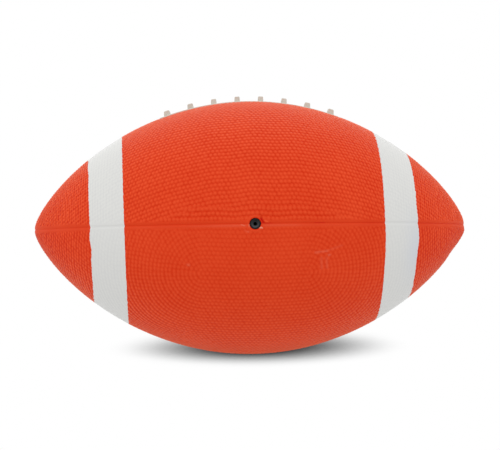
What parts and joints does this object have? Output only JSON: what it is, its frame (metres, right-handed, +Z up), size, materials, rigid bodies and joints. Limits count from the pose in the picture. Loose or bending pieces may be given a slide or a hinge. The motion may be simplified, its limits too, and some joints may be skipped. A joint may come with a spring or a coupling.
{
  "type": "american football",
  "caption": "Pointed oval ball of pebbled rubber panels round an air bladder, with a moulded lace strip, white rings and a valve for a pump needle.",
  "frame": {"origin": "on the ground under the middle of the ball, at the centre of its flat underside", "axes": "+X along the ball from tip to tip, -Y towards the valve side, +Z up; the laces lean to +Y"},
  "size_m": [0.2858, 0.1666, 0.1695],
  "materials": {
    "cover": "moulded pebble grain, semi-matt",
    "stripe": "white coat over the pebble grain, semi-matt",
    "lace": "moulded, matt",
    "carcass": "matt",
    "winding": "wound nylon yarn",
    "bladder": "satin",
    "boot": "matt",
    "valve": "satin"
  },
  "bodies": {
    "ball": {"cover_panel_front_upper": "cover", "cover_panel_front_lower": "cover", "cover_panel_rear_lower": "cover", "cover_panel_rear_upper": "cover", "stripe_left_front_upper": "stripe", "stripe_left_front_lower": "stripe", "stripe_left_rear_lower": "stripe", "stripe_left_rear_upper": "stripe", "stripe_right_front_upper": "stripe", "stripe_right_front_lower": "stripe", "stripe_right_rear_lower": "stripe", "stripe_right_rear_upper": "stripe", "lace_strip": "lace", "carcass": "carcass", "winding": "winding", "bladder": "bladder", "valve_boot": "boot"},
    "core": {"valve_core": "valve"}
  },
  "joints": [
    {"name": "valve_core_slide", "type": "slide", "parent": "ball", "child": "core", "axis": [0, -0.9909, 0.1349], "range_m": [0, 0.025]}
  ]
}
